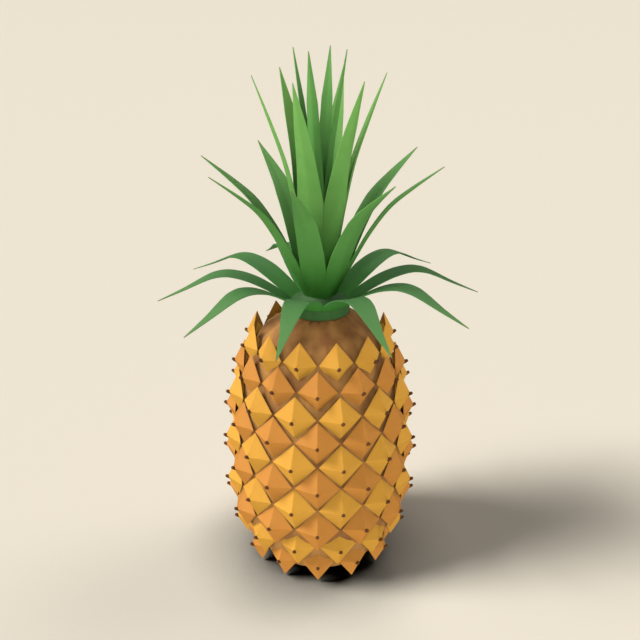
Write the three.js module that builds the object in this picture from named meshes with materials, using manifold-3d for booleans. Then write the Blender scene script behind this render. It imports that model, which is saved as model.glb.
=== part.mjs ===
// A pineapple standing upright: a brown fruit covered by pointed scales with a stud on each,
// and on its shoulder a green crown, which is a stump and four whorls of long leaves.
// Millimetres, +Z up, the origin in the middle of the flat spot that the fruit stands on.
// Angles around the fruit start at its front, the -Y side, and grow towards +X.
import * as THREE from "three";
import { mergeVertices } from "three/addons/utils/BufferGeometryUtils.js";
import Module from "manifold-3d";

const wasm = await Module();
wasm.setup();

// Fruit body: its side from the flat spot up to the shoulder, as radius and height
const BODY_SIDE = [
  [27, 0],
  [36, 5.2],
  [44.4, 16.2],
  [50.6, 32],
  [54.8, 50],
  [55.6, 78],
  [55, 98],
  [53.5, 114],
  [49.9, 132],
  [44.6, 149],
  [40.5, 157],
  [35.5, 164.5],
  [19.2, 175.6],
];
const BODY_FACETS = 24; // two flat facets for each scale of a row

// Scales: staggered rows, each scale a low pyramid on a diamond
// Distance of each row from the axis, from the ground up
const SEATS = [44.6, 50.4, 55, 55.7, 56, 55.8, 54.7, 53, 48.4, 42.6];
const SCALES_PER_ROW = 12;
const ROW_PITCH = 15.65;
const LOWEST_ROW_HEIGHT = 16.2;
const HALF_WIDTH_SHARE = 0.254; // half a scale's width over its distance from the axis
const LOW_WIDTH_SHARE = 0.236; // the same in the two lowest rows, which are narrower
const REACH_UP = 14.2; // middle of a scale to its upper corner
const REACH_DOWN = 15.4;
const LOW_REACH_DOWN = 14.9;
const LOW_ROWS = 2;
const PYRAMID_HEIGHT = 7.5;
const POINT_DROP = 0.3; // the point sits a little below the middle of the scale
const ROOT_SHARE = 0.46; // size of a scale's neck where it leaves the back
const ROOT_END_SHARE = 0.3;
const ROOT_DEPTH = 9;

// Studs: a blunt cone on the point of each scale, leaning up
const STUD_RADIUS = 1.2;
const STUD_END_RADIUS = 0.75;
const STUD_LENGTH = 1.5;
const STUD_ROOT = 2.2;
const STUD_LEAN = THREE.MathUtils.degToRad(30);
const STUD_SIDES = 5;

// Crown base: the stump that carries the leaves, as radius and height
const STUMP_SIDE = [
  [18.5, 175.9],
  [19, 176.8],
  [19, 182.4],
  [17.5, 184],
  [14, 185.6],
  [12.5, 187],
  [8, 190.2],
  [3, 191.6],
];
const STUMP_FACETS = 24;
const LEAF_GAP = 0.3; // between a leaf and the stump, and between neighbouring leaves

// Leaves: every whorl is one leaf repeated around the crown, the first one at the angle turn.
// path is the middle line of the blade as radius and height, from inside the stump to the tip.
// halfWidths are shares of the blade's length with half its width there, before its neighbours
// limit it. fold is the rise of each half in degrees, which the blade reaches at FOLD_SHARE.
const WHORLS = [
  {
    name: "leaf_outer",
    count: 10,
    turn: -12,
    path: [
      [14.5, 180.3],
      [19, 183.3],
      [29, 189.4],
      [37, 194.8],
      [47, 199.5],
      [57, 201.9],
      [65, 201.3],
      [72, 198.8],
      [85.5, 192.3],
      [101.7, 185.3],
    ],
    halfWidths: [
      [0, 9.5],
      [0.2, 9.5],
      [0.37, 8.4],
      [0.61, 6.3],
      [0.8, 2.9],
      [1, 0.5],
    ],
    fold: 5,
    stations: 15,
  },
  {
    name: "leaf_middle",
    count: 8,
    turn: -10.3,
    path: [
      [9.6, 186.4],
      [12.4, 193],
      [19.8, 207.4],
      [31, 228.2],
      [42.8, 245.2],
      [55.9, 257.4],
      [74.5, 272],
    ],
    halfWidths: [
      [0, 8],
      [0.35, 8.1],
      [0.6, 6.9],
      [0.8, 3.8],
      [1, 0.5],
    ],
    fold: 13,
    stations: 14,
  },
  {
    name: "leaf_inner",
    count: 6,
    turn: -20.3,
    path: [
      [6.4, 187.6],
      [8.2, 200],
      [12, 222],
      [16.2, 246],
      [21.6, 271],
      [30.2, 297],
      [39.8, 323],
    ],
    halfWidths: [
      [0, 9.1],
      [0.42, 9.1],
      [0.6, 6.7],
      [0.8, 4.2],
      [1, 0.5],
    ],
    fold: 15,
    stations: 12,
  },
  {
    name: "leaf_centre",
    count: 4,
    turn: -20.5,
    path: [
      [3, 189],
      [4, 202],
      [5.2, 226],
      [6.4, 254],
      [8.6, 281],
      [12.8, 310],
      [16.8, 337.4],
    ],
    halfWidths: [
      [0, 5.9],
      [0.35, 5.9],
      [0.6, 4.3],
      [0.8, 3.6],
      [1, 0.5],
    ],
    fold: 15,
    stations: 12,
  },
];
const EDGE_THICKNESS = 0.7;
const RIB_THICKNESS = 1.2;
const FOLD_SHARE = 0.3;

const material = (color, roughness) =>
  new THREE.MeshStandardMaterial({ color, roughness, metalness: 0 });
const SCALE_GOLD = material(0xeba54c, 0.55);
const STUMP_GREEN = material(0x3f7340, 0.6);
const LEAF_GREENS = {
  leaf_outer: material(0x55935a, 0.55),
  leaf_middle: material(0x568f43, 0.55),
  leaf_inner: material(0x6aa34e, 0.55),
  leaf_centre: material(0x5b9a50, 0.55),
};

// Closed surfaces

// An indexed geometry from points and faces, where a face is three or four point numbers.
function closedSurface(points, faces) {
  const index = faces.flatMap(([a, b, c, d]) =>
    d === undefined ? [a, b, c] : [a, b, c, a, c, d],
  );
  return new THREE.BufferGeometry().setFromPoints(points).setIndex(index);
}

// A solid turned about the Z axis from a side given as radius and height, flat at both ends.
function turned(side, facets) {
  const points = [];
  const faces = [];
  for (const [radius, height] of side) {
    for (let i = 0; i < facets; i++) {
      const angle = (2 * Math.PI * i) / facets;
      points.push(around(radius, angle, height));
    }
  }
  for (let ring = 0; ring + 1 < side.length; ring++) {
    for (let i = 0; i < facets; i++) {
      const a = ring * facets + i;
      const b = ring * facets + ((i + 1) % facets);
      faces.push([a, b, b + facets, a + facets]);
    }
  }
  const low = points.push(new THREE.Vector3(0, 0, side[0][1])) - 1;
  const high = points.push(new THREE.Vector3(0, 0, side.at(-1)[1])) - 1;
  const last = (side.length - 1) * facets;
  for (let i = 0; i < facets; i++) {
    const next = (i + 1) % facets;
    faces.push([low, next, i]);
    faces.push([high, last + i, last + next]);
  }
  return closedSurface(points, faces);
}

// The point at a radius, an angle from the front and a height.
function around(radius, angle, height) {
  return new THREE.Vector3(
    radius * Math.sin(angle),
    -radius * Math.cos(angle),
    height,
  );
}

// Joining and cutting

function solidOf(geometry) {
  const bare = new THREE.BufferGeometry()
    .setAttribute("position", geometry.getAttribute("position"))
    .setIndex(geometry.getIndex());
  const merged = mergeVertices(bare, 1e-4);
  return new wasm.Manifold(
    new wasm.Mesh({
      numProp: 3,
      vertProperties: new Float32Array(merged.attributes.position.array),
      triVerts: new Uint32Array(merged.index.array),
    }),
  );
}

function geometryOf(solid) {
  const mesh = solid.getMesh();
  const positions = new THREE.BufferAttribute(mesh.vertProperties, 3);
  const faceted = new THREE.BufferGeometry()
    .setAttribute("position", positions)
    .setIndex(new THREE.BufferAttribute(mesh.triVerts, 1))
    .toNonIndexed();
  faceted.computeVertexNormals();
  return faceted;
}

function joined(solids) {
  return solids.reduce((whole, solid) => whole.add(solid));
}

// Fruit

const bodySide = new THREE.SplineCurve(
  BODY_SIDE.map(([radius, height]) => new THREE.Vector2(radius, height)),
);

// The body's radius at a height, and how steeply its surface looks up there.
function bodyAt(height) {
  let low = 0;
  let high = 1;
  while (high - low > 1e-5) {
    const middle = (low + high) / 2;
    if (bodySide.getPoint(middle).y < height) low = middle;
    else high = middle;
  }
  const along = bodySide.getTangent(low);
  return {
    radius: bodySide.getPoint(low).x,
    lookUp: Math.atan2(-along.x, along.y),
  };
}

// The faceted body: its edges run between the rows and between the scales, so that every
// scale sits in the middle of a flat facet.
function fruitBody() {
  const ground = bodySide.getPoint(0);
  const top = bodySide.getPoint(1);
  const half = Math.PI / BODY_FACETS;
  const side = [[ground.x, ground.y]];
  for (let row = 0; row <= SEATS.length; row++) {
    const height = LOWEST_ROW_HEIGHT + (row - 0.5) * ROW_PITCH;
    side.push([bodyAt(height).radius / Math.cos(half), height]);
  }
  side.push([top.x, top.y]);
  return turned(side, BODY_FACETS).rotateZ(half);
}

// One scale with its front towards -Y: a pyramid, its flat back, and a neck that runs back
// into the body and sinks as the body's surface looks up.
function scale(halfWidth, reachDown, lookUp) {
  const diamond = (share, centre) => [
    new THREE.Vector3(0, 0, REACH_UP * share).add(centre),
    new THREE.Vector3(-halfWidth * share, 0, 0).add(centre),
    new THREE.Vector3(0, 0, -reachDown * share).add(centre),
    new THREE.Vector3(halfWidth * share, 0, 0).add(centre),
  ];
  const back = new THREE.Vector3(0, 0, 0);
  const deep = new THREE.Vector3(
    0,
    ROOT_DEPTH * Math.cos(lookUp),
    -ROOT_DEPTH * Math.sin(lookUp),
  );
  const points = [
    new THREE.Vector3(0, -PYRAMID_HEIGHT, -POINT_DROP),
    ...diamond(1, back),
    ...diamond(ROOT_SHARE, back),
    ...diamond(ROOT_END_SHARE, deep),
  ];
  const [apex, rim, neck, end] = [0, 1, 5, 9];
  const faces = [[end, end + 3, end + 2, end + 1]];
  for (let i = 0; i < 4; i++) {
    const j = (i + 1) % 4;
    faces.push([apex, rim + i, rim + j]);
    faces.push([rim + i, neck + i, neck + j, rim + j]);
    faces.push([neck + i, end + i, end + j, neck + j]);
  }
  return closedSurface(points, faces);
}

// The blunt cone on a scale's point.
function stud() {
  const length = STUD_ROOT + STUD_LENGTH;
  return new THREE.CylinderGeometry(
    STUD_END_RADIUS,
    STUD_RADIUS,
    length,
    STUD_SIDES,
  )
    .rotateX(Math.PI)
    .translate(0, STUD_ROOT - length / 2, 0)
    .rotateX(-STUD_LEAN)
    .translate(0, -PYRAMID_HEIGHT, -POINT_DROP);
}

// The scales and studs of one row, counted from the ground.
function scaleRow(row) {
  const height = LOWEST_ROW_HEIGHT + row * ROW_PITCH;
  const seat = SEATS[row];
  const isLow = row < LOW_ROWS;
  const halfWidth = seat * (isLow ? LOW_WIDTH_SHARE : HALF_WIDTH_SHARE);
  const reachDown = isLow ? LOW_REACH_DOWN : REACH_DOWN;
  const lookUp = Math.max(bodyAt(height).lookUp, 0);
  const pair = solidOf(scale(halfWidth, reachDown, lookUp)).add(
    solidOf(stud()),
  );
  const step = (2 * Math.PI) / SCALES_PER_ROW;
  const stagger = row % 2 === 1 ? step / 2 : 0;
  const solids = [];
  for (let i = 0; i < SCALES_PER_ROW; i++) {
    const place = new THREE.Matrix4()
      .makeRotationZ(stagger + i * step)
      .multiply(new THREE.Matrix4().makeTranslation(0, -seat, height));
    solids.push(solidOf(geometryOf(pair).applyMatrix4(place)));
  }
  return solids;
}

function fruit() {
  const solids = [solidOf(fruitBody())];
  for (let row = 0; row < SEATS.length; row++) solids.push(...scaleRow(row));
  const mesh = new THREE.Mesh(geometryOf(joined(solids)), SCALE_GOLD);
  mesh.name = "fruit";
  return mesh;
}

// Crown

function crownBase() {
  const mesh = new THREE.Mesh(turned(STUMP_SIDE, STUMP_FACETS), STUMP_GREEN);
  mesh.name = "crown_base";
  return mesh;
}

// The stump with the gap added all round, which every leaf is cut by. Its flat facets stand
// off the stump's corners, so that it clears a stump turned to any angle.
function stumpClearance() {
  const side = STUMP_SIDE.map(([radius, height], i) => [
    (radius + LEAF_GAP) / Math.cos(Math.PI / STUMP_FACETS),
    i === 0 ? height : height + LEAF_GAP,
  ]);
  return solidOf(turned(side, STUMP_FACETS));
}

// Half the blade's width at a share of its length, before its neighbours limit it.
function freeHalfWidth(halfWidths, share) {
  const next = Math.max(
    1,
    halfWidths.findIndex(([end]) => end >= share),
  );
  const [start, before] = halfWidths[next - 1];
  const [end, after] = halfWidths[next];
  return THREE.MathUtils.mapLinear(share, start, end, before, after);
}

// The front leaf of a whorl: a tapering blade with a channel, thickest at its rib.
// Each section has six corners: left edge, rib and right edge above, then the same below.
function leaf(whorl) {
  const { path, count, halfWidths, stations } = whorl;
  const sector = Math.tan(Math.PI / count);
  const curve = new THREE.SplineCurve(
    path.map(([radius, height]) => new THREE.Vector2(radius, height)),
  );
  const points = [];
  for (let s = 0; s <= stations; s++) {
    const share = s / stations;
    const fold = THREE.MathUtils.degToRad(
      whorl.fold * Math.min(1, share / FOLD_SHARE),
    );
    const middle = curve.getPointAt(share);
    const along = curve.getTangentAt(share);
    const above = new THREE.Vector2(-along.y, along.x); // the side that faces the axis
    const lean = Math.abs(above.x);
    const innermost = middle.x - (lean * EDGE_THICKNESS) / 2;
    const room =
      (innermost * sector - LEAF_GAP) /
      (Math.cos(fold) + lean * Math.sin(fold) * sector);
    const half = Math.min(freeHalfWidth(halfWidths, share), room);
    const corner = (side, thickness) => {
      const rise = Math.abs(side) * half * Math.sin(fold) + thickness / 2;
      return new THREE.Vector3(
        side * half * Math.cos(fold),
        -(middle.x + above.x * rise),
        middle.y + above.y * rise,
      );
    };
    points.push(
      corner(-1, EDGE_THICKNESS),
      corner(0, RIB_THICKNESS),
      corner(1, EDGE_THICKNESS),
      corner(1, -EDGE_THICKNESS),
      corner(0, -RIB_THICKNESS),
      corner(-1, -EDGE_THICKNESS),
    );
  }
  return closedSurface(points, bladeFaces(stations));
}

// The faces of a blade, with the triangles of its two sides split alike.
function bladeFaces(stations) {
  const faces = [
    [0, 1, 4, 5],
    [1, 2, 3, 4],
  ];
  for (let s = 0; s < stations; s++) {
    const [a, b] = [s * 6, s * 6 + 6];
    faces.push([a, b, b + 1, a + 1]);
    faces.push([a + 2, a + 1, b + 1, b + 2]);
    faces.push([b + 3, b + 4, a + 4, a + 3]);
    faces.push([b + 4, b + 5, a + 5, a + 4]);
    faces.push([a + 3, a + 2, b + 2, b + 3]);
    faces.push([a, a + 5, b + 5, b]);
  }
  const t = stations * 6;
  faces.push([t + 5, t + 4, t + 1, t]);
  faces.push([t + 4, t + 3, t + 2, t + 1]);
  return faces;
}

function whorlLeaves(whorl, clearance) {
  const blade = geometryOf(solidOf(leaf(whorl)).subtract(clearance));
  const leaves = new THREE.Group();
  for (let i = 0; i < whorl.count; i++) {
    const mesh = new THREE.Mesh(blade, LEAF_GREENS[whorl.name]);
    mesh.name = `${whorl.name}_${String(i + 1).padStart(2, "0")}`;
    mesh.rotation.z = THREE.MathUtils.degToRad(
      whorl.turn + (i * 360) / whorl.count,
    );
    leaves.add(mesh);
  }
  return leaves;
}

const pineapple = new THREE.Group();
pineapple.add(fruit());
pineapple.add(crownBase());
const clearance = stumpClearance();
for (const whorl of WHORLS) pineapple.add(whorlLeaves(whorl, clearance));

export default pineapple;
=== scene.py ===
import math

import bpy
from mathutils import Matrix, Vector


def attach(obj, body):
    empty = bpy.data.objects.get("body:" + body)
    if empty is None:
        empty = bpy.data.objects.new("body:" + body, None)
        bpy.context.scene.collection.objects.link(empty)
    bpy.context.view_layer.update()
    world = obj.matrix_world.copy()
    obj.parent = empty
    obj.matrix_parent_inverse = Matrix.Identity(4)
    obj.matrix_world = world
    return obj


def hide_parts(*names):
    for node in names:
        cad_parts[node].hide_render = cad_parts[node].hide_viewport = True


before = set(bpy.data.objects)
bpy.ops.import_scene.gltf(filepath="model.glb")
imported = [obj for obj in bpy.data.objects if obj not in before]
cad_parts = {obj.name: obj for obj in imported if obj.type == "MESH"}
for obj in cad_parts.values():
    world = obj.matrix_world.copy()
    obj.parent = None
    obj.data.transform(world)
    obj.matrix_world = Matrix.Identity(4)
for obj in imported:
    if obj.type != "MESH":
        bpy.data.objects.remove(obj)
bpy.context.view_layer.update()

bl_info = {
    "name": "Pineapple",
    "version": (1, 0, 0),
    "blender": (4, 5, 0),
    "location": "View3D > Sidebar > Pineapple",
    "description": "Builds a pineapple with its scales, studs, stump and crown of leaves",
    "category": "Add Mesh",
}

# The lengths below are millimetres and the angles degrees. Angles around the fruit start at
# its front, the -Y side, and grow towards +X. A side or a path is a list of radius and
# height pairs.
MM = 0.001
BODY_SIDE = (
    (27, 0),
    (36, 5.2),
    (44.4, 16.2),
    (50.6, 32),
    (54.8, 50),
    (55.6, 78),
    (55, 98),
    (53.5, 114),
    (49.9, 132),
    (44.6, 149),
    (40.5, 157),
    (35.5, 164.5),
    (19.2, 175.6),
)
BODY_FACETS = 24
BODY_RINGS = 44
BODY_ROUNDING = 1.6

SCALE_ROWS = 10
SCALES_PER_ROW = 12
FIRST_ROW_HEIGHT = 16.2
# Distance of each row of scales from the axis, from the ground up
SEATS = (44.6, 50.4, 55, 55.7, 56, 55.8, 54.7, 53, 48.4, 42.6)
# Half a scale's width as a share of that distance, smaller in the few lowest rows
LOW_ROWS = 2
LOW_HALF_WIDTH = 0.236
HALF_WIDTH = 0.254
# A scale's neck as a share of its outline, on its back and at the end inside the body
NECK_SHARE = 0.46
ROOT_SHARE = 0.3
ROOT_DEPTH = 9

STUD_SIDES = 12
STUD_RISE = 30  # how far a stud's end looks up
# A stud's side as pairs of a share of its radius and a distance out from the scale's point
STUD_SIDE = ((1.0, -2.2), (1.0, 0.0), (0.9, 0.8), (0.76, 1.25), (0.5, 1.5), (0.2, 1.55))

STUMP_SIDE = (
    (18.3, 175.9),
    (18.8, 176.2),
    (19, 176.8),
    (19, 182),
    (18.7, 183),
    (17.5, 184),
    (14, 185.6),
    (12.5, 187),
    (8, 190.2),
    (3, 191.6),
)
STUMP_FACETS = 72

# For each whorl: the number of its leaves, the angle of its first, the middle line of a blade,
# half its width at shares of its length, the share at which it has parted from its neighbours,
# the angle that its two halves fold up, the colour of its tips and how dry these are.
WHORLS = {
    "outer": {
        "count": 10,
        "turn": -12,
        "path": (
            (14.5, 180.3),
            (19, 183.3),
            (23, 186.6),
            (29, 190.4),
            (37, 195),
            (47, 199.5),
            (57, 201.9),
            (65, 201.3),
            (72, 198.8),
            (85.5, 192.3),
            (101.7, 185.3),
        ),
        "half_widths": (
            (0, 7.2),
            (0.1, 7.4),
            (0.18, 8.4),
            (0.3, 8.9),
            (0.4, 8.4),
            (0.6, 6.3),
            (0.8, 2.9),
            (1, 0.2),
        ),
        "parting": 0.1,
        "fold": 5,
        "tip_colour": "#588248",
        "dry": 0.7,
    },
    "middle": {
        "count": 8,
        "turn": -10.3,
        "path": (
            (9.6, 186.4),
            (12.4, 193),
            (19.8, 207.4),
            (31, 228.2),
            (42.8, 245.2),
            (55.9, 257.4),
            (74.5, 272),
        ),
        "half_widths": ((0, 8), (0.35, 8.1), (0.6, 6.9), (0.8, 3.8), (1, 0.2)),
        "parting": 0.21,
        "fold": 13,
        "tip_colour": "#60904A",
        "dry": 0.5,
    },
    "inner": {
        "count": 6,
        "turn": -20.3,
        "path": (
            (6.4, 187.6),
            (8.2, 200),
            (12, 222),
            (16.2, 246),
            (21.6, 271),
            (30.2, 297),
            (39.8, 323),
        ),
        "half_widths": ((0, 9.1), (0.42, 9.1), (0.6, 6.7), (0.8, 4.2), (1, 0.2)),
        "parting": 0.4,
        "fold": 15,
        "tip_colour": "#72A452",
        "dry": 0.15,
    },
    "centre": {
        "count": 4,
        "turn": -20.5,
        "path": (
            (3, 189),
            (4, 202),
            (5.2, 226),
            (6.4, 254),
            (8.6, 281),
            (12.8, 310),
            (16.8, 337.4),
        ),
        "half_widths": ((0, 5.9), (0.35, 5.9), (0.6, 4.3), (0.8, 3.6), (1, 0.2)),
        "parting": 0.35,
        "fold": 15,
        "tip_colour": "#5F9049",
        "dry": 0.15,
    },
}
FOLD_SHARE = 0.3  # of a blade's length, where its channel has its full depth
RIB_ROUNDING = 0.1  # of half the blade's width, in the bottom of the channel
FULL_RIB_WIDTH = 4  # half the width from which on the rib has its full thickness
LEAF_STATIONS = 60
LEAF_COLUMNS = 6  # from the rib to one edge
VEIN_SPACING = 1.1

SHARP_ANGLE = 50  # edges whose faces meet at more than this stay sharp

SKIN_STREAKS = "#8B5E35"
# Browner rind colours for the mottles and pores, and for the painted shade in the seams between
# scales and on the scales' backs
YELLOW_MOTTLE_AND_SEAM_SHADE = "#AE7730"
ORANGE_MOTTLE_AND_SEAM_SHADE = "#A4672E"
STUD_SCUFFS = "#8A5A34"
STUMP_STREAKS = "#2C4A2A"
DRY_TIPS = "#7C6F4C"
PAPER_FIBRES = "#FFFFFF"
# Black that the floor's colour is mixed towards, as painted shade under the fruit
PAINTED_SHADE_BLACK = "#000000"

FLOOR_REACH = 30  # in metres, from the fruit to each edge of the floor
# Painted shade: the floor's colour darkens where something stands this close over it
PAINTED_SHADE_REACH = 58  # distance within which something over the floor darkens it
# Each light's size, its turn from the front and its height over the floor
KEY_LIGHT = (23, -77.5, 46)
FILL_LIGHT = (24, 118, 55)
FLOOR_LIGHT = (28, 180, 8)
# The lights on the fruit alone, each with its share of their strength. Those with a height
# below the floor stand for the light that pale paper throws back up.
FRUIT_LIGHTS = (
    (0.15, (40, 0, 20)),
    (0.23, (50, 60, -20)),
    (0.24, (50, -60, -20)),
    (0.38, (150, 180, -10)),
)

CAMERA_SENSOR = 36
CAMERA_LENS = 53.136
CAMERA_TURN = 1.45
CAMERA_PITCH = 22.09
CAMERA_DISTANCE = 604.57
CAMERA_END = 100  # in metres, the furthest that it sees
# The point that the camera looks at: its height, and how far it is to the right of the axis
AIM_HEIGHT = 169.28
AIM_RIGHT = 0.15


# Curves


def line_point(points, share):
    """The point at a share of a smooth line through points, each piece of it counted alike."""
    spot = (len(points) - 1) * share
    i = min(int(spot), len(points) - 2)
    t = spot - i
    start, end = Vector(points[i]), Vector(points[i + 1])
    leaving = (end - Vector(points[max(i - 1, 0)])) / 2
    arriving = (Vector(points[min(i + 2, len(points) - 1)]) - start) / 2
    cubic = 2 * start - 2 * end + leaving + arriving
    square = 3 * end - 3 * start - 2 * leaving - arriving
    return ((cubic * t + square) * t + leaving) * t + start


def even_stations(points, count, fine=600):
    """Points and directions along a smooth line, at even steps of its length."""
    dense = [line_point(points, i / fine) for i in range(fine + 1)]
    length = [0.0]
    for a, b in zip(dense, dense[1:]):
        length.append(length[-1] + (b - a).length)
    stations, j = [], 0
    for s in range(count + 1):
        wanted = length[-1] * s / count
        while j < fine - 1 and length[j + 1] < wanted:
            j += 1
        share = (wanted - length[j]) / (length[j + 1] - length[j])
        direction = (dense[j + 1] - dense[j]).normalized()
        stations.append((dense[j].lerp(dense[j + 1], share), direction))
    return stations


def looks_up(height):
    """How far the body's surface looks up at a height in mm."""
    low, high = 0.0, 1.0
    while high - low > 1e-6:
        middle = (low + high) / 2
        if line_point(BODY_SIDE, middle).y < height:
            low = middle
        else:
            high = middle
    along = line_point(BODY_SIDE, min(low + 1e-3, 1)) - line_point(BODY_SIDE, max(low - 1e-3, 0))
    return math.atan2(-along.x, along.y)


# Meshes


def new_piece(name, points, faces, material, smooth=True, values=None):
    """A mesh object in the scene, with a number for each point under each name in values.
    A smooth one keeps its sharp edges."""
    mesh = bpy.data.meshes.new(name)
    mesh.from_pydata([tuple(p) for p in points], [], faces)
    mesh.validate()
    for label, numbers in (values or {}).items():
        mesh.attributes.new(label, "FLOAT", "POINT").data.foreach_set("value", numbers)
    mesh.materials.append(material)
    mesh.polygons.foreach_set("use_smooth", [smooth] * len(mesh.polygons))
    if smooth:
        mesh.set_sharp_from_angle(angle=math.radians(SHARP_ANGLE))
    mesh.update()
    piece = bpy.data.objects.new(name, mesh)
    bpy.context.scene.collection.objects.link(piece)
    return piece


def around(radius, angle, height):
    """The point at a radius, an angle from the front and a height, from mm to metres."""
    return Vector((radius * math.sin(angle), -radius * math.cos(angle), height)) * MM


def soften_edges(piece, width, segments, chosen):
    """Rounds the edges whose two points are chosen, with the flat faces kept flat."""
    weights = [float(chosen(*edge.vertices)) for edge in piece.data.edges]
    layer = piece.data.attributes.new("bevel_weight_edge", "FLOAT", "EDGE")
    layer.data.foreach_set("value", weights)
    bevel = piece.modifiers.new("soft_edges", "BEVEL")
    bevel.width = width
    bevel.segments = segments
    bevel.limit_method = "WEIGHT"
    bevel.harden_normals = True
    bevel.use_clamp_overlap = True


def turned_faces(rings, facets):
    """The faces of a form of rings one above another, closed at both ends."""
    faces = []
    for ring in range(rings - 1):
        for i in range(facets):
            a, b = ring * facets + i, ring * facets + (i + 1) % facets
            faces.append((a, b, b + facets, a + facets))
    last = (rings - 1) * facets
    faces.append(tuple(reversed(range(facets))))
    faces.append(tuple(last + i for i in range(facets)))
    return faces


# Materials


def linear(hex_colour):
    """An sRGB colour such as #C08040 as linear red, green, blue and alpha."""
    channels = [int(hex_colour[i : i + 2], 16) / 255 for i in (1, 3, 5)]
    return [c / 12.92 if c <= 0.04045 else ((c + 0.055) / 1.055) ** 2.4 for c in channels] + [1.0]


def add_node(tree, kind, settings=None, **links):
    """Adds a node. Settings are its own properties or its sockets' values, and links are
    sockets to be fed by another node's output. A socket goes by its identifier or name."""
    node = tree.nodes.new(kind)
    sockets = {s.name.replace(" ", "_"): s for s in reversed(node.inputs)}
    sockets.update({s.identifier.replace(" ", "_"): s for s in node.inputs})
    for name, value in (settings or {}).items():
        if hasattr(node, name):
            setattr(node, name, value)
        else:
            sockets[name].default_value = value
    for name, output in links.items():
        tree.links.new(output, sockets[name])
    return node


def new_material(name):
    material = bpy.data.materials.new(name)
    material.use_nodes = True
    material.node_tree.nodes.clear()
    return material, material.node_tree


def close_material(tree, colour, bump_height, bump_mm, roughness, specular):
    """Ends a material with its bump and its shader."""
    bump = add_node(
        tree,
        "ShaderNodeBump",
        {"Strength": 1.0, "Distance": bump_mm * MM},
        Height=bump_height,
    )
    shader = add_node(
        tree,
        "ShaderNodeBsdfPrincipled",
        {"Roughness": roughness, "Specular_IOR_Level": specular, "IOR": 1.45},
        Base_Color=colour,
        Normal=bump.outputs["Normal"],
    )
    add_node(tree, "ShaderNodeOutputMaterial", Surface=shader.outputs["BSDF"])


def attribute(tree, name):
    """The number that the mesh holds for each point under a name."""
    return add_node(tree, "ShaderNodeAttribute", {"attribute_name": name}).outputs["Fac"]


def noise(tree, size_mm, detail, stretch=1):
    """Noise whose patches are about size_mm across, and taller than that by stretch."""
    place = add_node(tree, "ShaderNodeTexCoord")
    scaled = add_node(
        tree,
        "ShaderNodeVectorMath",
        {"operation": "MULTIPLY", "Vector_001": (1, 1, 1 / stretch)},
        Vector=place.outputs["Object"],
    )
    made = add_node(
        tree,
        "ShaderNodeTexNoise",
        {"Scale": 1 / (size_mm * MM), "Detail": detail, "Roughness": 0.55},
        Vector=scaled.outputs[0],
    )
    return made.outputs[0]


def spread(tree, value, low, high, top=1.0):
    """A value's span from low to high turned into 0 to top, and held at its ends."""
    made = add_node(
        tree,
        "ShaderNodeMapRange",
        {"From_Min": low, "From_Max": high, "To_Min": 0.0, "To_Max": top},
        Value=value,
    )
    return made.outputs[0]


def mixed(tree, share, first, second):
    """Two colours, each a hex colour or an output, with the second's share from an output."""
    settings, links = {"data_type": "RGBA"}, {"Factor_Float": share}
    for key, colour in (("A_Color", first), ("B_Color", second)):
        if isinstance(colour, str):
            settings[key] = linear(colour)
        else:
            links[key] = colour
    outputs = add_node(tree, "ShaderNodeMix", settings, **links).outputs
    return next(output for output in outputs if output.identifier == "Result_Color")


def hex_of(colour):
    """A property's colour, which holds sRGB values, as a hex colour."""
    return "#" + "".join(f"{round(c * 255):02X}" for c in colour)


def rind_material(name, colour, rim_colour):
    # Ripe rind: a thin waxy skin, pressed into flat-faced scales as the fruit swells. The
    # wax gives a soft broad gloss, and faint mottles and pores keep the faces from looking
    # plain. Towards each scale's outline and over its back and neck the colour is painted
    # browner: painted shade, for the shade that falls in the seams between scales.
    material, tree = new_material(name)
    mottle = noise(tree, size_mm=11, detail=2)
    pores = noise(tree, size_mm=0.9, detail=4)
    rim = attribute(tree, "rim")
    base = mixed(tree, spread(tree, mottle, 0.35, 0.7, 0.16), colour, rim_colour)
    # Painted shade: browner towards each scale's outline and over its back and neck, where shade
    # falls in the seams
    base = mixed(tree, spread(tree, rim, 0.88, 1.0, 0.3), base, rim_colour)
    base = mixed(tree, spread(tree, pores, 0.6, 0.78, 0.12), base, rim_colour)
    close_material(tree, base, pores, bump_mm=0.05, roughness=0.55, specular=0.25)
    return material


def skin_material(colour, dark_colour):
    # Skin between the scales: dry and corky, grown in long strands from stump to foot. It
    # is rough, so it takes the light evenly, with broad soft streaks over a fine grain.
    material, tree = new_material("corky_skin")
    streaks = noise(tree, size_mm=9, detail=1.5, stretch=6)
    strands = noise(tree, size_mm=1.6, detail=2, stretch=8)
    base = mixed(tree, spread(tree, streaks, 0.32, 0.68), colour, dark_colour)
    base = mixed(tree, spread(tree, strands, 0.45, 0.75, 0.18), base, dark_colour)
    close_material(tree, base, strands, bump_mm=0.06, roughness=0.8, specular=0.2)
    return material


def stud_material(colour, pale_colour):
    # Studs: the dried remains of the flowers, woody and brittle, and scuffed pale in spots.
    material, tree = new_material("dried_woody_stud")
    grain = noise(tree, size_mm=0.7, detail=3)
    base = mixed(tree, spread(tree, grain, 0.45, 0.75, 0.35), colour, pale_colour)
    close_material(tree, base, grain, bump_mm=0.1, roughness=0.7, specular=0.3)
    return material


def stump_material(colour, dark_colour):
    # Stump: green fibrous leaf bases pressed together, smooth with soft upright streaks.
    material, tree = new_material("fibrous_leaf_base")
    ridges = noise(tree, size_mm=3.5, detail=2, stretch=5)
    base = mixed(tree, spread(tree, ridges, 0.4, 0.75, 0.5), colour, dark_colour)
    close_material(tree, base, ridges, bump_mm=0.05, roughness=0.6, specular=0.3)
    return material


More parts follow.
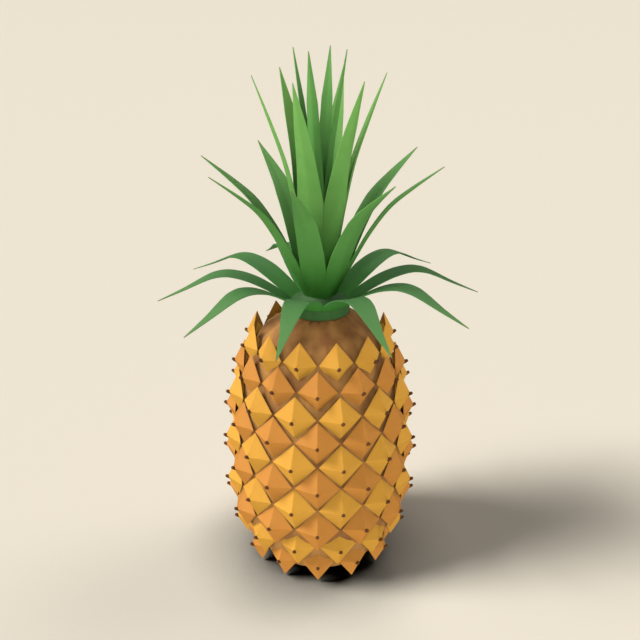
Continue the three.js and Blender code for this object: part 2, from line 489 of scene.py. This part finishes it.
def leaf_material(name, foot_colour, blade_colour, tip_colour, dry):
    # Leaf blade: tough skin with a thin wax bloom over parallel veins. The bloom makes it
    # nearly matt, the veins show as faint lines, and the very tip has dried, most of all on
    # the oldest leaves, the outer ones.
    material, tree = new_material(name)
    along = attribute(tree, "along")
    turns = add_node(
        tree,
        "ShaderNodeMath",
        {"operation": "MULTIPLY", "Value_001": 2 * math.pi / (VEIN_SPACING * MM)},
        Value=attribute(tree, "across"),
    )
    wave = add_node(tree, "ShaderNodeMath", {"operation": "SINE"}, Value=turns.outputs[0])
    veins = spread(tree, wave.outputs[0], -1.0, 1.0)
    cloud = noise(tree, size_mm=12, detail=2)
    base = mixed(tree, spread(tree, along, 0.0, 0.4), foot_colour, blade_colour)
    base = mixed(tree, spread(tree, along, 0.45, 1.0), base, tip_colour)
    base = mixed(tree, spread(tree, veins, 0.0, 1.0, 0.05), base, tip_colour)
    base = mixed(tree, spread(tree, cloud, 0.42, 0.75, 0.18), base, foot_colour)
    base = mixed(tree, spread(tree, along, 0.93, 1.0, dry), base, DRY_TIPS)
    close_material(tree, base, veins, bump_mm=0.02, roughness=0.62, specular=0.25)
    return material


def floor_material(colour):
    # Floor: matt seamless paper, uncoated, so it has no gloss and only a very fine tooth.
    # Its colour is painted darker, down to black, where the fruit hangs over it: painted shade for
    # the room's light that the fruit keeps off.
    material, tree = new_material("matt_paper")
    tooth = noise(tree, size_mm=0.6, detail=2)
    base = mixed(tree, spread(tree, tooth, 0.3, 0.7, 0.03), colour, PAPER_FIBRES)
    open_share = add_node(
        tree,
        "ShaderNodeAmbientOcclusion",
        {"Distance": PAINTED_SHADE_REACH * MM, "samples": 12},
    ).outputs["AO"]
    # Painted shade: the paper's colour is mixed towards black where things close above it cover it
    base = mixed(tree, spread(tree, open_share, 0.1, 0.95), PAINTED_SHADE_BLACK, base)
    close_material(tree, base, tooth, bump_mm=0.02, roughness=0.95, specular=0.1)
    return material


# Settings


def colour_property(name, description, default):
    channels = [int(default[i : i + 2], 16) / 255 for i in (1, 3, 5)]
    return bpy.props.FloatVectorProperty(
        name=name,
        description=description,
        subtype="COLOR_GAMMA",
        size=3,
        min=0,
        max=1,
        default=channels,
    )


def length_property(name, description, millimetres):
    return bpy.props.FloatProperty(
        name=name,
        description=description,
        default=millimetres * MM,
        min=0,
        unit="LENGTH",
        subtype="DISTANCE",
    )


def power_property(name, description, power):
    return bpy.props.FloatProperty(name=name, description=description, default=power, min=0)


class PineappleFruitSettings(bpy.types.PropertyGroup):
    scale_height: length_property("Scale height", "How far a scale's point stands out", 7.5)
    point_drop: length_property("Point drop", "How far the point sits below the middle", 0.3)
    reach_up: length_property("Reach up", "From a scale's middle to its upper corner", 14.2)
    reach_down: length_property("Reach down", "From a scale's middle to its lower corner", 15.4)
    low_reach_down: length_property("Low rows", "The same in the two lowest rows", 14.9)
    row_pitch: length_property("Row pitch", "Height between two rows of scales", 15.65)
    edge_round: length_property("Edge rounding", "Width of the rounding on a scale's ridges", 0.3)
    stud_radius: length_property("Stud radius", "Radius of a stud where it leaves the scale", 1.15)
    yellow: colour_property("Yellow rind", "Scales of the rows between", "#CD9539")
    orange: colour_property("Orange rind", "Scales of the lowest row and every other", "#BE7F38")
    skin: colour_property("Skin", "Skin between the scales", "#B07E45")
    stud: colour_property("Stud", "Dried studs on the points", "#5E3A22")


class PineappleCrownSettings(bpy.types.PropertyGroup):
    edge_thickness: length_property("Edge thickness", "Thickness of a blade at its edge", 0.42)
    rib_thickness: length_property("Rib thickness", "Thickness of a blade at its middle", 1.2)
    stump: colour_property("Stump", "Stump under the leaves", "#3D6234")
    foot: colour_property("Leaf foot", "Leaves where they leave the stump", "#367927")
    outer: colour_property("Outer leaves", "The lowest, arching whorl", "#46733E")
    middle: colour_property("Middle leaves", "The leaning whorl", "#51823E")
    inner: colour_property("Inner leaves", "The steep whorl", "#639548")
    centre: colour_property("Centre leaves", "The upright whorl", "#518640")


class PineappleStageSettings(bpy.types.PropertyGroup):
    floor: colour_property("Floor", "Seamless paper under the fruit", "#F0E6D3")
    key_power: power_property("Key light", "Strength of the light from the left", 3.27)
    fill_power: power_property("Fill light", "Strength of the light from behind the right", 0.59)
    floor_power: power_property("Floor light", "Strength of the low light on the floor alone", 1.75)
    fruit_power: power_property("Fruit lights", "Strength of the lights on the fruit alone", 11)


# Pieces

BUILT = []  # names of the object's own pieces


def finish_piece(piece, slot, *nodes):
    """The piece rides on the part's one body and stands for its nodes."""
    BUILT.append(piece.name)
    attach(piece, "root")
    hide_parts(*nodes)


class PINEAPPLE_OT_body(bpy.types.Operator):
    """Build the fruit's body, with a flat facet under each scale"""

    bl_idname = "pineapple.body"
    bl_label = "Fruit body"

    def execute(self, context):
        settings = context.scene.pineapple_fruit
        half = math.pi / BODY_FACETS
        points = []
        for ring in range(BODY_RINGS + 1):
            spot = line_point(BODY_SIDE, ring / BODY_RINGS)
            for i in range(BODY_FACETS):
                points.append(around(spot.x / math.cos(half), (2 * i + 1) * half, spot.y))
        skin = skin_material(hex_of(settings.skin), SKIN_STREAKS)
        faces = turned_faces(BODY_RINGS + 1, BODY_FACETS)
        piece = new_piece("fruit_body", points, faces, skin)
        # The chosen edges are the upright ones, which lead from one ring to the next
        soften_edges(
            piece, BODY_ROUNDING * MM, 3, lambda a, b: a // BODY_FACETS != b // BODY_FACETS
        )
        finish_piece(piece, "fruit", "fruit")
        return {"FINISHED"}


def scale_shape(settings, row):
    """One scale with its front towards -Y: a pyramid, its back, and a neck into the body."""
    seat, _, look_up = scale_seat(settings, row)
    low = row < LOW_ROWS
    half_width = seat * (LOW_HALF_WIDTH if low else HALF_WIDTH)
    up = settings.reach_up
    down = settings.low_reach_down if low else settings.reach_down

    def diamond(share, centre):
        corners = ((0, up), (-half_width, 0), (0, -down), (half_width, 0))
        return [Vector((x * share, 0, z * share)) + centre for x, z in corners]

    deep = Vector((0, math.cos(look_up), -math.sin(look_up))) * ROOT_DEPTH * MM
    points = [point_of(settings)]
    points += diamond(1, Vector()) + diamond(NECK_SHARE, Vector()) + diamond(ROOT_SHARE, deep)
    faces = [(9, 12, 11, 10)]
    for i in range(4):
        j = (i + 1) % 4
        faces.append((0, 1 + i, 1 + j))
        faces.append((1 + i, 5 + i, 5 + j, 1 + j))
        faces.append((5 + i, 9 + i, 9 + j, 5 + j))
    # How far the rind's colour is painted browner at each point, as painted shade of the seams
    rim = [0.0] + [1.0] * 8 + [0.5] * 4  # 0 at the point, 1 at the outline and on the back
    return points, faces, rim


def scale_seat(settings, row):
    """A row's distance from the axis and its height, and how far the body looks up there."""
    height = FIRST_ROW_HEIGHT * MM + row * settings.row_pitch
    return SEATS[row] * MM, height, max(looks_up(height / MM), 0)


def scale_place(settings, row, i):
    """Where a scale sits, with rows counted from the ground and scales from the front."""
    seat, height, _ = scale_seat(settings, row)
    step = 2 * math.pi / SCALES_PER_ROW
    angle = i * step + (step / 2 if row % 2 else 0)
    return Matrix.Rotation(angle, 4, "Z") @ Matrix.Translation((0, -seat, height))


def point_of(settings):
    """The point of a scale, from the middle of its outline."""
    return Vector((0, -settings.scale_height, -settings.point_drop))


def build_scales(settings, name, rows, colour, rim_colour):
    """One piece with all the scales of some rows."""
    points, faces, painted_seam_shades = [], [], []
    for row in rows:
        shape, sides, rim = scale_shape(settings, row)
        for i in range(SCALES_PER_ROW):
            place = scale_place(settings, row, i)
            first = len(points)
            points += [place @ p for p in shape]
            faces += [tuple(first + k for k in side) for side in sides]
            painted_seam_shades += rim
    rind = rind_material(name.replace("scales", "rind"), colour, rim_colour)
    # Each point carries how much painted seam shade its rind gets
    piece = new_piece(name, points, faces, rind, False, {"rim": painted_seam_shades})
    # The chosen edges are the four that lead down from each scale's point
    size = len(shape)
    soften_edges(piece, settings.edge_round, 2, lambda a, b: min(a, b) % size == 0)
    finish_piece(piece, "fruit", "fruit")


class PINEAPPLE_OT_scales(bpy.types.Operator):
    """Build the pointed scales, as a piece for each of the two colours of rind"""

    bl_idname = "pineapple.scales"
    bl_label = "Scales"

    def execute(self, context):
        settings = context.scene.pineapple_fruit
        odd, even = range(1, SCALE_ROWS, 2), range(0, SCALE_ROWS, 2)
        build_scales(settings, "scales_yellow", odd, hex_of(settings.yellow), YELLOW_MOTTLE_AND_SEAM_SHADE)
        build_scales(settings, "scales_orange", even, hex_of(settings.orange), ORANGE_MOTTLE_AND_SEAM_SHADE)
        return {"FINISHED"}


class PINEAPPLE_OT_studs(bpy.types.Operator):
    """Build the blunt dried stud on the point of each scale"""

    bl_idname = "pineapple.studs"
    bl_label = "Studs"

    def execute(self, context):
        settings = context.scene.pineapple_fruit
        lean = Matrix.Rotation(math.radians(-STUD_RISE), 4, "X")
        stud_faces = turned_faces(len(STUD_SIDE), STUD_SIDES)
        points, faces = [], []
        for row in range(SCALE_ROWS):
            for i in range(SCALES_PER_ROW):
                place = scale_place(settings, row, i)
                place = place @ Matrix.Translation(point_of(settings)) @ lean
                first = len(points)
                for share, out in STUD_SIDE:
                    radius = settings.stud_radius * share
                    for s in range(STUD_SIDES):
                        angle = 2 * math.pi * s / STUD_SIDES
                        spot = (radius * math.cos(angle), -out * MM, radius * math.sin(angle))
                        points.append(place @ Vector(spot))
                faces += [tuple(first + k for k in face) for face in stud_faces]
        wood = stud_material(hex_of(settings.stud), STUD_SCUFFS)
        piece = new_piece("scale_studs", points, faces, wood)
        finish_piece(piece, "fruit", "fruit")
        return {"FINISHED"}


class PINEAPPLE_OT_stump(bpy.types.Operator):
    """Build the stump that carries the leaves"""

    bl_idname = "pineapple.stump"
    bl_label = "Crown stump"

    def execute(self, context):
        settings = context.scene.pineapple_crown
        points = []
        for radius, height in STUMP_SIDE:
            for i in range(STUMP_FACETS):
                angle = 2 * math.pi * i / STUMP_FACETS
                points.append(around(radius, angle, height))
        green = stump_material(hex_of(settings.stump), STUMP_STREAKS)
        faces = turned_faces(len(STUMP_SIDE), STUMP_FACETS)
        piece = new_piece("crown_stump", points, faces, green)
        finish_piece(piece, "crown_base", "crown_base")
        return {"FINISHED"}


def free_half_width(whorl, share):
    """Half the blade's width in mm at a share of its length, before neighbours limit it."""
    pairs = whorl["half_widths"]
    for (start, before), (end, after) in zip(pairs, pairs[1:]):
        if share <= end:
            return before + (after - before) * (share - start) / (end - start)


def blade_shape(settings, whorl):
    """The front leaf of a whorl: wrapped around the axis at its foot, where it touches its
    neighbours, and a channelled blade further out, thickest at its rib."""
    corner = math.pi / whorl["count"]
    edge, rib = settings.edge_thickness / MM, settings.rib_thickness / MM
    sides = [i / LEAF_COLUMNS for i in range(-LEAF_COLUMNS, LEAF_COLUMNS + 1)]
    ring = [(s, 1) for s in sides] + [(s, -1) for s in reversed(sides)]
    points, along, across = [], [], []
    for n, (middle, direction) in enumerate(even_stations(whorl["path"], LEAF_STATIONS)):
        share = n / LEAF_STATIONS
        fold = math.radians(whorl["fold"]) * min(1, share / FOLD_SHARE)
        wrap = max(0, 1 - share / whorl["parting"])
        above = Vector((-direction.y, direction.x))
        flat_room = math.tan(corner) / (
            math.cos(fold) + abs(above.x) * math.sin(fold) * math.tan(corner)
        )
        room = middle.x * (flat_room + (math.sin(corner) - flat_room) * wrap)
        half = min(free_half_width(whorl, share), room)
        for side, face in ring:
            wide = side * half * math.cos(fold)
            sunk = wrap * (middle.x - math.sqrt(max(0, middle.x**2 - wide**2)))
            full = (1 - side * side) * min(1, half / FULL_RIB_WIDTH)
            thickness = edge + (rib - edge) * full
            keel = math.hypot(side, RIB_ROUNDING) - RIB_ROUNDING
            rise = keel * half * math.sin(fold) + face * thickness / 2
            radius, height = middle.x - sunk + above.x * rise, middle.y + above.y * rise
            points.append(Vector((wide, -radius, height)) * MM)
            along.append(share)
            across.append(side * half * MM)
    return points, turned_faces(LEAF_STATIONS + 1, len(ring)), along, across


class PINEAPPLE_OT_leaves(bpy.types.Operator):
    """Build the four whorls of leaves, with a piece for each leaf"""

    bl_idname = "pineapple.leaves"
    bl_label = "Leaves"

    def execute(self, context):
        settings = context.scene.pineapple_crown
        for name, whorl in WHORLS.items():
            colours = hex_of(settings.foot), hex_of(getattr(settings, name)), whorl["tip_colour"]
            green = leaf_material(f"waxy_leaf_{name}", *colours, whorl["dry"])
            points, faces, along, across = blade_shape(settings, whorl)
            for i in range(whorl["count"]):
                turn = math.radians(whorl["turn"] + i * 360 / whorl["count"])
                placed = [Matrix.Rotation(turn, 3, "Z") @ p for p in points]
                values = {"along": along, "across": across}
                label = f"{name}_{i + 1:02d}"
                piece = new_piece(f"blade_{label}", placed, faces, green, True, values)
                finish_piece(piece, f"leaf_{name}", f"leaf_{label}")
        return {"FINISHED"}


class PINEAPPLE_OT_stage(bpy.types.Operator):
    """Lay the floor, and set the lights and the camera"""

    bl_idname = "pineapple.stage"
    bl_label = "Stage"

    def execute(self, context):
        settings = context.scene.pineapple_stage
        self.floor(settings)
        self.light(context, settings)
        self.camera(context)
        return {"FINISHED"}

    def floor(self, settings):
        reach = FLOOR_REACH
        corners = [(-reach, -reach, 0), (reach, -reach, 0), (reach, reach, 0), (-reach, reach, 0)]
        paper = floor_material(hex_of(settings.floor))
        floor = new_piece("floor", corners, [(0, 1, 2, 3)], paper)
        # The floor casts no shadow, so the lights from below it reach the fruit
        floor.visible_shadow = False

    def light(self, context, settings):
        floor = self.flagged(context, "all_but_the_fruit", "EXCLUDE")
        fruit = self.flagged(context, "fruit_only", "INCLUDE")
        self.sun(context, "key_light", settings.key_power, KEY_LIGHT)
        self.sun(context, "fill_light", settings.fill_power, FILL_LIGHT)
        self.sun(context, "floor_light", settings.floor_power, FLOOR_LIGHT, floor)
        for i, (share, place) in enumerate(FRUIT_LIGHTS):
            power = settings.fruit_power * share
            self.sun(context, f"fruit_light_{i + 1}", power, place, fruit)
        world = bpy.data.worlds.new("room")
        world.use_nodes = True
        world.node_tree.nodes["Background"].inputs["Strength"].default_value = 0
        context.scene.world = world
        context.scene.view_settings.view_transform = "Standard"
        context.scene.view_settings.look = "None"

    def sun(self, context, name, power, place, lit=None):
        """A broad far light, kept by flags to what lit says. It isn't thrown back by what it
        lights, as if the walls and cards of the room were black."""
        size, turn, elevation = (math.radians(angle) for angle in place)
        light = bpy.data.lights.new(name, "SUN")
        light.energy = power
        light.angle = size
        light.cycles.max_bounces = 0
        lamp = bpy.data.objects.new(name, light)
        source = Vector((math.sin(turn), -math.cos(turn), math.tan(elevation)))
        lamp.rotation_mode = "QUATERNION"
        lamp.rotation_quaternion = source.to_track_quat("Z", "Y")
        context.scene.collection.objects.link(lamp)
        if lit:
            lamp.light_linking.receiver_collection = lit
            lamp.visible_glossy = False

    def flagged(self, context, name, state):
        """A collection that lets a flagged light reach the fruit alone, or all but the fruit.
        Both name the fruit's pieces, because with the floor named as well the renderer was
        found to light the same scene in either of two ways from run to run."""
        lit = bpy.data.collections.new(name)
        for piece in BUILT:
            lit.objects.link(context.scene.objects[piece])
        for member in lit.collection_objects:
            member.light_linking.link_state = state
        return lit

    def camera(self, context):
        camera = bpy.data.cameras.new("camera")
        camera.sensor_width = CAMERA_SENSOR
        camera.lens = CAMERA_LENS
        camera.clip_end = CAMERA_END
        eye = bpy.data.objects.new("camera", camera)
        turn, pitch = math.radians(CAMERA_TURN), math.radians(CAMERA_PITCH)
        right = Vector((math.cos(turn), math.sin(turn), 0))
        back = Vector((math.sin(turn), -math.cos(turn), 0)) * math.cos(pitch)
        back.z = math.sin(pitch)
        aim = Vector((0, 0, AIM_HEIGHT * MM)) + right * AIM_RIGHT * MM
        eye.location = aim + back * CAMERA_DISTANCE * MM
        eye.rotation_mode = "QUATERNION"
        eye.rotation_quaternion = back.to_track_quat("Z", "Y")
        context.scene.collection.objects.link(eye)
        context.scene.camera = eye


class PINEAPPLE_PT_panel(bpy.types.Panel):
    """The pineapple's pieces and settings"""

    bl_idname = "PINEAPPLE_PT_panel"
    bl_label = "Pineapple"
    bl_space_type = "VIEW_3D"
    bl_region_type = "UI"
    bl_category = "Pineapple"

    def draw(self, context):
        for group in SETTINGS:
            settings = getattr(context.scene, group)
            for name in settings.bl_rna.properties.keys():
                if name not in ("rna_type", "name"):
                    self.layout.prop(settings, name)
        for operator in OPERATORS:
            self.layout.operator(operator.bl_idname)


SETTINGS = {
    "pineapple_fruit": PineappleFruitSettings,
    "pineapple_crown": PineappleCrownSettings,
    "pineapple_stage": PineappleStageSettings,
}
OPERATORS = (
    PINEAPPLE_OT_body,
    PINEAPPLE_OT_scales,
    PINEAPPLE_OT_studs,
    PINEAPPLE_OT_stump,
    PINEAPPLE_OT_leaves,
    PINEAPPLE_OT_stage,
)
CLASSES = (*SETTINGS.values(), *OPERATORS, PINEAPPLE_PT_panel)


def register():
    for each in CLASSES:
        bpy.utils.register_class(each)
    for name, group in SETTINGS.items():
        setattr(bpy.types.Scene, name, bpy.props.PointerProperty(type=group))


def unregister():
    for name in SETTINGS:
        delattr(bpy.types.Scene, name)
    for each in reversed(CLASSES):
        bpy.utils.unregister_class(each)


def main():
    register()
    for operator in OPERATORS:
        family, name = operator.bl_idname.split(".")
        getattr(getattr(bpy.ops, family), name)()


if __name__ == "__main__":
    main()
